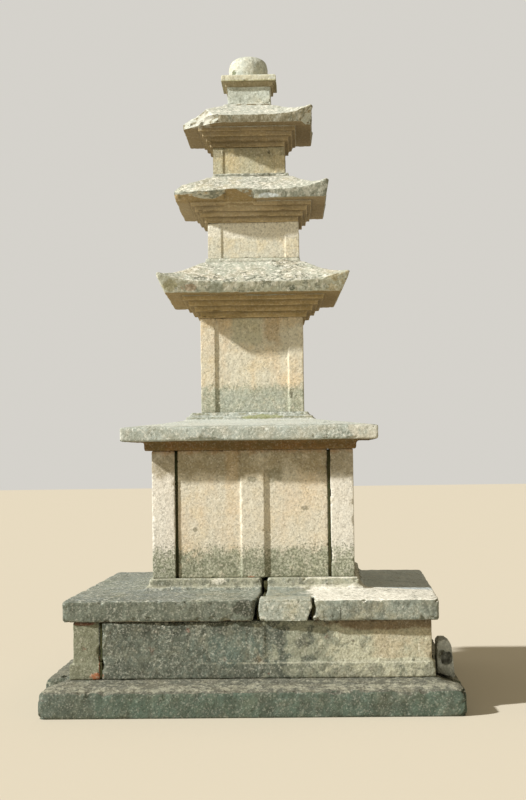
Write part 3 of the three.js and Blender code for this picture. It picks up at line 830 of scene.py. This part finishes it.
# %% Third roof and finial: bleached nearly white by the sun, with a few dark green spots
roof_3_granite = roof_granite(
    "pale granite, bleached, third roof",
    SOFFIT_MM["roof_3"],
    ("#bfc3ba", "#bbbbad", "#b3b7ad"),
    "#746c52",
    "#94866a",
    [
        stain_and_shade("#cfd0c6", 60, 0.36, 0.2, 0.6, (-330, -340, 3850), (170, 170, 110)),
        stain_and_shade("#47543f", 40, 0.30, 0.1, 0.85, (-405, -430, 3748), (42, 70, 20)),
        stain_and_shade("#c0b498", 50, 0.34, 0.1, 0.7, (-328, -430, 3746), (60, 70, 28)),
    ],
    mottling=0.35,
)
finial_granite = granite(
    "pale granite, bleached, finial",
    ("#cfd4ca", "#d3d0bc", "#c4cac1"),
    [
        Coat("#8c8f80", 60, 0.53, 0.20, 0.35),
        Coat("#6a6f5e", 20, 0.56, 0.10, 0.35),
        Coat("#cdc4a2", 60, 0.40, 0.30, 0.5, where=(("z", 4128, 4136), ("z", 4182, 4176))),
        Coat("#a3a06a", 40, 0.34, 0.20, 0.5, where=(("z", 4130, 4134), ("z", 4146, 4140))),
        Coat("#95814f", 120, 0.25, 0.20, 0.7, where=(("z", 4098, 4104), ("z", 4136, 4130))),
        stain_and_shade("#56603c", 26, 0.40, 0.14, 0.8, (-118, -105, 4215), (44, 60, 34)),
        Coat("#8a7d62", 120, 0.25, 0.20, 0.8, where=(("down",),), reach=0.6),
    ],
    pepper=0.15,
)

# %% [markdown]
# ## The upper base and its capstone
#
# The upper base is the same cream stone as the shafts, but it stands nearer the ground. Its lowest
# 200 mm are green with lichen, and the upper edge of that band breaks up into single dark spots.
# The capstone over it is grey-green, with a pale rim, and brown underneath. The green band could be
# one soft ramp. It is three coats with patches of 13, 50 and 60 mm, because lichen thins out in spots.

# %% The upper base's granite: cream and peppered, with a green foot
upper_base_granite = granite(
    "cream granite, pecked, green at the foot, upper base",
    ("#d4cebd", "#d1c7af", "#cec9b8"),
    [
        Coat("#d6b48a", 190, 0.56, 0.24, 0.25, stretch=(1, 1, 0.4)),
        *(Coat("#dad8d0", 200, 0.30, 0.20, 0.7, where=(("x", 498 * end, 508 * end),)) for end in (-1, 1)),
        # A darker brown band under the capstone, where its shadow falls: brown streaks and painted shade.
        Coat("#8b7f5f", 130, 0.38, 0.30, 0.7, where=(("z", 1340, 1520),)),
        Coat("#a5743f", 140, 0.46, 0.30, 0.45, where=(("z", 1540, 1616),)),
        Coat("#93805a", 90, 0.34, 0.30, 0.3, where=(("x", -210, -150), ("x", -60, -110), ("z", 1320, 1500))),
        Coat("#d9b98c", 90, 0.34, 0.30, 0.2, where=(("x", -210, -150), ("x", -60, -110), ("z", 1100, 1240))),
        stain_and_shade("#6c6b55", 30, 0.36, 0.20, 0.5, (-4, -654, 1425), (60, 60, 30)),
        stain_and_shade("#77755c", 60, 0.38, 0.30, 0.5, (150, -640, 1450), (90, 60, 90)),
        stain_and_shade("#6f6c58", 20, 0.36, 0.10, 0.6, (-377, -634, 1104), (26, 40, 24)),
        stain_and_shade("#6f6c58", 20, 0.36, 0.10, 0.6, (335, -634, 1235), (44, 40, 26)),
        Coat("#a8ab96", 50, 0.40, 0.24, 0.85, where=(("z", 1080, 900),)),
        Coat("#5b614a", 13, 0.49, 0.10, 0.65, where=(("z", 1180, 930),), reach=0.36),
        Coat("#5f654e", 60, 0.50, 0.20, 0.35, where=(("z", 990, 900),)),
        stain_and_shade("#b9683e", 26, 0.44, 0.12, 0.55, (-14, -654, 797), (60, 60, 10)),
    ],
    **PECKED,
)

# %% The capstone's granite: grey-green and mottled, with a chalky rim
upper_cap_granite = granite(
    "grey granite, lichened, pale at the rim",
    ("#b5b9ae", "#b0ae9f", "#a5ada6"),
    [
        Coat("#8b8f80", 90, 0.50, 0.20, 0.5),
        Coat("#666c5d", 24, 0.53, 0.08, 0.6, where=(("cloud", 260, 0.35, 0.6),)),
        Coat("#e6e7de", 17, 0.55, 0.08, 0.45),
        Coat("#cbd0ca", 120, 0.36, 0.20, 0.6, where=(("up",), ("z", 1765, 1780), ("z", 1824, 1816))),
        Coat("#7b7a5c", 60, 0.40, 0.20, 0.6, where=(("side",), ("z", 1818, 1828))),
        stain_and_shade("#8b9058", 60, 0.34, 0.20, 0.6, (60, -424, 1836), (230, 60, 30)),
        Coat("#6f6c55", 60, 0.40, 0.20, 0.7, where=(("side",), ("z", 1812, 1818), ("z", 1828, 1820))),
        Coat("#c9c3b2", 70, 0.40, 0.14, 0.5, where=(("x", 540, 660), ("y", -740, -800))),
        Coat("#e2e3d8", 40, 0.42, 0.10, 0.7, where=(("wear_and_highlight",), ("z", 1690, 1682))),
        Coat("#6f5d3a", 300, 0.15, 0.15, 1.0, where=(("z", 1682, 1672),), reach=0.6),
        Coat("#8f6336", 120, 0.54, 0.30, 0.4, where=(("z", 1682, 1672),)),
    ],
    pepper=0.2,
)

# %% [markdown]
# ## The lower courses
#
# The lower the stone, the wetter and the darker. The left half of the lower base stands in the
# damp: its slabs are dark grey-green with darker blotches and white flecks, and rain has drawn
# streaks down them. The right half has been washed pale. Iron in the stone has bled orange at the
# joint on the left. Each slab could have a granite of its own, but one granite serves a whole course
# here, with coats that fade from left to right, so that the colours run on across the joints.

# %% The lower capstone's granites: matt grey with dark blotches, and pale where the sun dries it
lower_cap_granite = granite(
    "grey granite, damp and lichened, capstone",
    ("#90958a", "#949380", "#858c82"),
    [
        Coat("#666c60", 220, 0.25, 0.20, 0.85, where=(("x", 130, -40), ("side",))),
        Coat("#5a6055", 110, 0.50, 0.14, 0.5, where=(("side",), ("x", 130, -40))),
        Coat("#788084", 150, 0.44, 0.20, 0.5, where=(("x", -100, -500), ("up",))),
        Coat("#5f6558", 70, 0.50, 0.14, 0.5, where=(("up",), ("x", 100, -100)), stretch=(0.4, 1, 1)),
        Coat("#565c50", 22, 0.53, 0.08, 0.6, where=(("up",), ("x", 200, 0))),
        Coat("#c8c9bb", 24, 0.57, 0.08, 0.6, where=(("up",), ("x", 200, 0))),
        Coat("#e6e4d9", 130, 0.32, 0.20, 0.95, where=(("x", 150, 520), ("up",))),
        Coat("#94917c", 30, 0.54, 0.10, 0.45, where=(("x", 150, 420), ("up",))),
        Coat("#aaa993", 60, 0.40, 0.30, 0.65, where=(("z", 716, 742),)),
        Coat("#4a4f45", 50, 0.53, 0.12, 0.5, where=(("side",),), stretch=(1, 1, 0.35)),
        stain_and_shade("#3b3e33", 60, 0.36, 0.20, 0.85, (-30, -1170, 650), (150, 90, 100)),
        stain_and_shade("#d8d5c6", 40, 0.38, 0.14, 0.8, (-230, -690, 775), (90, 60, 40)),
        stain_and_shade("#5b6052", 60, 0.38, 0.20, 0.7, (-600, -690, 765), (150, 80, 40)),
        # A pale blue-grey on the back right of the top, where the upper base's shadow falls: painted sky
        # light in that shade.
        Coat("#b2bec2", 120, 0.34, 0.30, 0.9, where=(("up",), ("x", 640, 740), ("y", -650, -540))),
        Coat("#4d5147", 30, 0.55, 0.08, 0.5, where=(("cloud", 300, 0.35, 0.6),)),
        Coat("#c6c8bb", 22, 0.58, 0.08, 0.35, where=(("cloud", 220, 0.35, 0.6),)),
        Coat("#bfc0b0", 60, 0.46, 0.14, 0.6, where=(("wear_and_highlight",),)),
        stain_and_shade("#3e4034", 12, 0.25, 0.10, 0.8, (548, -1160, 612), (9, 60, 62)),
        Coat("#5b4a33", 200, 0.20, 0.20, 0.8, where=(("down",),), reach=0.6),
    ],
    pepper=0.3,
    grit=1.3,
    mottle=0.26,
)
# Freshly broken, so it is paler than its neighbours and has few coats.
fragment_granite = granite(
    "pale granite, freshly broken",
    ("#a9ad9e", "#a8a691", "#9aa096"),
    [
        Coat("#5f6455", 20, 0.55, 0.08, 0.6),
        Coat("#d9d8cb", 22, 0.56, 0.08, 0.5),
        Coat("#d3d2c3", 60, 0.42, 0.14, 0.6, where=(("wear_and_highlight",),)),
    ],
    pepper=0.2,
)

# %% The lower base's granite: dark, streaked and flecked with white, and washed pale on the right
lower_base_granite = granite(
    "grey granite, damp and lichened, base",
    ("#6f756a", "#727262", "#646c62"),
    [
        Coat("#484d44", 120, 0.51, 0.08, 0.6),
        Coat("#5a6056", 60, 0.50, 0.14, 0.5, stretch=(1, 1, 0.3)),
        Coat("#3f443c", 40, 0.57, 0.08, 0.5),
        stain_and_shade("#6b827b", 60, 0.46, 0.20, 0.3, (-130, -1107, 400), (420, 90, 220), stretch=(1, 1, 0.3)),
        Coat("#3b4037", 70, 0.45, 0.12, 0.65, where=(("z", 360, 520), ("x", 450, -350))),
        Coat("#c4c7ba", 17, 0.58, 0.08, 0.45, where=(("cloud", 240, 0.35, 0.55),)),
        Coat("#8b8e7f", 44, 0.58, 0.12, 0.4),
        Coat("#9c9f8c", 90, 0.44, 0.12, 0.7, where=(("x", -520, 430),), reach=0.5),
        Coat("#b8b8a2", 80, 0.40, 0.14, 0.95, where=(("x", -60, 700),), reach=0.6),
        Coat("#b8a688", 150, 0.44, 0.25, 0.5, where=(("x", 560, 800), ("z", 300, 340))),
        Coat("#7b7864", 18, 0.54, 0.08, 0.4, where=(("x", 200, 500),)),
        stain_and_shade("#e0dcc8", 14, 0.40, 0.10, 0.7, (1026, -1107, 395), (10, 60, 62)),
        stain_and_shade("#5f5b48", 14, 0.36, 0.10, 0.7, (622, -1107, 434), (18, 40, 14)),
        Coat("#7a7c68", 300, 0.20, 0.20, 0.95, where=(("x", -940, -950), ("y", -1040, -1090)), reach=0.6),
        # Painted shade: the lower capstone's shadow on the base's top, brownish on the right and a red-brown
        # strip on the left.
        stain_and_shade("#78664c", 140, 0.25, 0.25, 0.8, (820, -1107, 550), (520, 60, 70)),
        stain_and_shade("#70493a", 90, 0.25, 0.16, 0.8, (-1035, -1107, 556), (100, 60, 20)),
        # A pale line along the plinth's top arris: painted highlight.
        Coat("#b2b2a0", 40, 0.46, 0.20, 0.6, where=(("x", -1400, 300), ("z", 294, 302), ("z", 316, 311))),
        Coat("#c2c3b3", 60, 0.48, 0.14, 0.5, where=(("wear_and_highlight",), ("z", 520, 540))),
        Coat("#4f544a", 50, 0.50, 0.14, 0.5, where=(("z", 310, 300), ("x", -940, -900))),
        stain_and_shade("#a8603a", 26, 0.40, 0.24, 0.75, (-955, -1125, 232), (70, 60, 40)),
        stain_and_shade("#a8703f", 40, 0.36, 0.20, 0.7, (-936, -1110, 330), (14, 60, 150)),
    ],
    pepper=0.3,
    grit=1.4,
    mottle=0.26,
)

# %% At the ground: the greenest and roughest granite, with a pale worn lip
ground_granite = granite(
    "greenish granite, at the ground",
    ("#5e665a", "#686a5b", "#586157"),
    [
        Coat("#4e6557", 220, 0.44, 0.20, 0.4, where=(("side",), ("x", -1050, -900))),
        Coat("#464d42", 90, 0.52, 0.12, 0.5, stretch=(1, 1, 0.5)),
        Coat("#5d5e54", 160, 0.34, 0.20, 0.9, where=(("up",),)),
        Coat("#a3a28f", 30, 0.55, 0.08, 0.5, where=(("up",),), stretch=(0.6, 1, 1)),
        Coat("#6c6a5b", 60, 0.52, 0.12, 0.5, where=(("up",),), stretch=(0.4, 1, 1)),
        Coat("#929586", 26, 0.57, 0.08, 0.35, where=(("cloud", 260, 0.38, 0.6),)),
        Coat("#a8a794", 40, 0.50, 0.14, 0.55, where=(("z", 150, 164), ("z", 196, 180))),
    ],
    pepper=0.25,
    grit=1.3,
    mottle=0.26,
)

# %% The last three: a damp stone, the imported core, and soil
# The damp stone stands in deep shade. Its tones are painted light and a little blue, as painted sky light,
# because the shade darkens them.
dark_granite = granite(
    "dark damp granite",
    ("#bfc6c6", "#b4b8b4", "#aab1b0"),
    [
        Coat("#85877c", 60, 0.50, 0.2, 0.5),
        Coat("#d4d8d4", 22, 0.56, 0.1, 0.5),
        # The dark blotch in its hollow is painted shade.
        stain_and_shade("#3f4234", 30, 0.38, 0.2, 0.85, (1175, -1010, 330), (46, 90, 50)),
    ],
    grit=1.3,
)
# The core is dull, brown and coarse. The soil is dark olive, with hardly a glinting grain.
rubble = granite("packed earth and rubble", ("#77694f", "#6a5c44", "#5a5040"), grit=1.5)
soil = granite("mossy soil in a joint", ("#333b1c", "#2d371b", "#3d3b20"), pepper=0.05, grit=1.3)

# %% [markdown]
# ## The stones, from the ground up
#
# Every stone goes through the same tool. What differs is how hard its weather is: the shafts keep
# their pecked faces, the roofs lose the most, and the ground stones are the roughest. The squares are
# finest where a stone has small mouldings. They could be fine everywhere, but then the pagoda would
# have several million triangles, and thinned like this it stays under one million.

# %% How hard each kind of stone has worn
SHAFT = {"Fresh steps": 0, "Worn steps": 2, "Break steps": 16, "Blunt from": 60 * MM}
SHAFT |= {"Roughness": 1.2 * MM, "Waves": 2 * MM, "Chip level": 0.63, "Chip size": 30 * MM}
ROOF = {"Worn steps": 14, "Roughness": 5 * MM, "Grain loss": 34 * MM, "Waves": 4 * MM}
ROOF |= {"Chip level": 0.61}
CAP = {"Worn steps": 4, "Roughness": 3 * MM, "Chip level": 0.63, "Chip size": 40 * MM}
BASE = {"Worn steps": 4, "Roughness": 4 * MM, "Grain loss": 40 * MM}
BASE |= {"Chip level": 0.62, "Shelter": 235 * MM}
GROUND = {"Worn steps": 8, "Roughness": 7 * MM, "Grain loss": 60 * MM, "Waves": 8 * MM}
GROUND |= {"Chip level": 0.58, "Shelter": 30 * MM}

# %% Ground course and core
for side in ("front", "back", "left", "right"):
    wear_stone(f"ground_stone_{side}", ground_granite, GROUND, voxel=12, keep=0.38)
core_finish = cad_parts["rubble_core"].data.materials
core_finish.clear()
core_finish.append(rubble)

# %% Lower base. The rough boss on the front slab dies away to the right, so its end is dressed off.
boss_end = [rough_cleft((380, -1114, z), (0.067, -1, 0), 200, z, rough=2) for z in (412, 468)]
for side, voxel in (("front", 7), ("right", 10), ("back", 11), ("left", 8)):
    losses = boss_end if side == "front" else ()
    wear_stone(f"lower_base_{side}", lower_base_granite, BASE, voxel, 0.38, losses)
wear_stone("lower_base_right_fragment", dark_granite, GROUND, voxel=7, keep=0.7)

# %% Lower capstone
for corner, voxel in (("front_left", 9), ("front_right", 9), ("back_left", 11), ("back_right", 11)):
    wear_stone(f"lower_cap_{corner}", lower_cap_granite, BASE, voxel, keep=0.38)
wear_stone("lower_cap_fragment", fragment_granite, BASE, voxel=5, keep=0.5)

# %% Upper base and its capstone
for side, voxel in (("front", 5), ("right", 7), ("back", 7), ("left", 7)):
    wear_stone(f"upper_base_{side}", upper_base_granite, SHAFT, voxel, keep=0.3)
wear_stone("upper_capstone", upper_cap_granite, CAP, voxel=8, keep=0.33)

# %% Bodies
wear_stone("body_1", body_1_granite, SHAFT, voxel=4.5, keep=0.24)
wear_stone("body_2", body_2_granite, SHAFT, voxel=4.5, keep=0.33)
wear_stone("body_3", body_3_granite, SHAFT, voxel=4, keep=0.33)

# %% Roofs. The second has scoops along its broken eave, and the third a rough scar on its corner.
scoops = [
    rough_cleft((84, -499, 3300), (-0.25, -0.80, -0.54), 140, 1, rough=3),
    rough_ball((-140, -522, 3262), (110, 66, 62), 3),
    rough_ball((-290, -530, 3258), (90, 60, 40), 5),
    rough_ball((-10, -530, 3262), (70, 50, 34), 7),
    rough_ball((300, -530, 3262), (60, 40, 22), 9),
]
scars = [
    rough_ball((-358, -346, 3850), (50, 44, 42), 2, rough=0.4),
    rough_ball((-318, -408, 3838), (46, 40, 44), 4, rough=0.4),
    rough_ball((-404, -290, 3848), (44, 48, 40), 6, rough=0.4),
]
TIP_MM = 30
roofs = (
    ("roof_1", roof_1_granite, 6, []),
    ("roof_2", roof_2_granite, 5.5, scoops),
    ("roof_3", roof_3_granite, 5, scars),
)
for seed, (node, stone, voxel, losses) in enumerate(roofs):
    losses += tips_off(node, TIP_MM, seed)
    look = {**ROOF, "Shelter": SOFFIT_MM[node] * MM}
    wear_stone(node, stone, look, voxel, 0.38, losses)

# %% Finial
for node in ("finial_base", "finial_bowl"):
    wear_stone(node, finial_granite, CAP, voxel=4, keep=0.45)

# %% [markdown]
# ## Soil in the joints
#
# No mortar holds the stones. Wind has packed soil into the open joints, and moss grows on it, so a
# joint looks like a dark olive line and not like a black slot. It could be painted on as one more
# coat, but a joint is a real gap, so each joint gets a thin rough block of soil that stays a little
# behind the faces. The lower base's joint is repeated on all four sides, and the upper base's joints
# at the back.


# %% Soil, packed into a joint
SOIL_CUTS = 7
SOIL_ROUGH_MM = 4
SOIL_LUMP_MM = 30


def pack_soil(name, ends, turns=0):
    """Rough soil between two corners in mm, turned with the stones by a number of quarter turns."""
    lump = bmesh.new()
    bmesh.ops.create_cube(lump, size=1.0)
    bmesh.ops.subdivide_edges(lump, edges=lump.edges, cuts=SOIL_CUTS, use_grid_fill=True)
    low, high = Vector(ends[0]), Vector(ends[1])
    turn = Matrix.Rotation(math.radians(90 * turns), 3, "Z")
    for vertex in lump.verts:
        place = (low + high) / 2 + vertex.co * (high - low)
        place += SOIL_ROUGH_MM * noise.noise_vector(place / SOIL_LUMP_MM)
        vertex.co = turn @ place * MM
    piece = as_object(name, lump)
    piece.data.materials.append(soil)
    for face in piece.data.polygons:
        face.use_smooth = True
    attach(piece, "root")
    print("packed", name)


for turns, side in enumerate(("front", "right", "back", "left")):
    pack_soil(f"joint_soil_lower_{side}", ((-934, -1101, 318), (-922, -1060, 560)), turns)
    pack_soil(f"joint_soil_plinth_{side}", ((-934, -1122, 218), (-922, -1060, 318)), turns)
for turns, side in ((0, "front"), (2, "back")):
    pack_soil(f"joint_soil_upper_{side}_left", ((-503, -626, 796), (-487, -580, 1611)), turns)
    pack_soil(f"joint_soil_upper_{side}_right", ((487, -645, 796), (503, -580, 1611)), turns)
pack_soil("joint_soil_cap_top", ((68, -1010, 570), (94, -690, 700)))
pack_soil("joint_soil_cap_lip", ((68, -674, 570), (94, -640, 770)))
pack_soil("joint_soil_cap_front", ((36, -1120, 572), (80, -1000, 656)))
pack_soil("joint_soil_cap_crack", ((372, -1128, 572), (424, -1000, 668)))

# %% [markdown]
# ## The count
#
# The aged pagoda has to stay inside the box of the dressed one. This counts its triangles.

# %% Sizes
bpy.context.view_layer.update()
total = sum(len(p.vertices) - 2 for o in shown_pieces() for p in o.data.polygons)
print("triangles in all:", total)
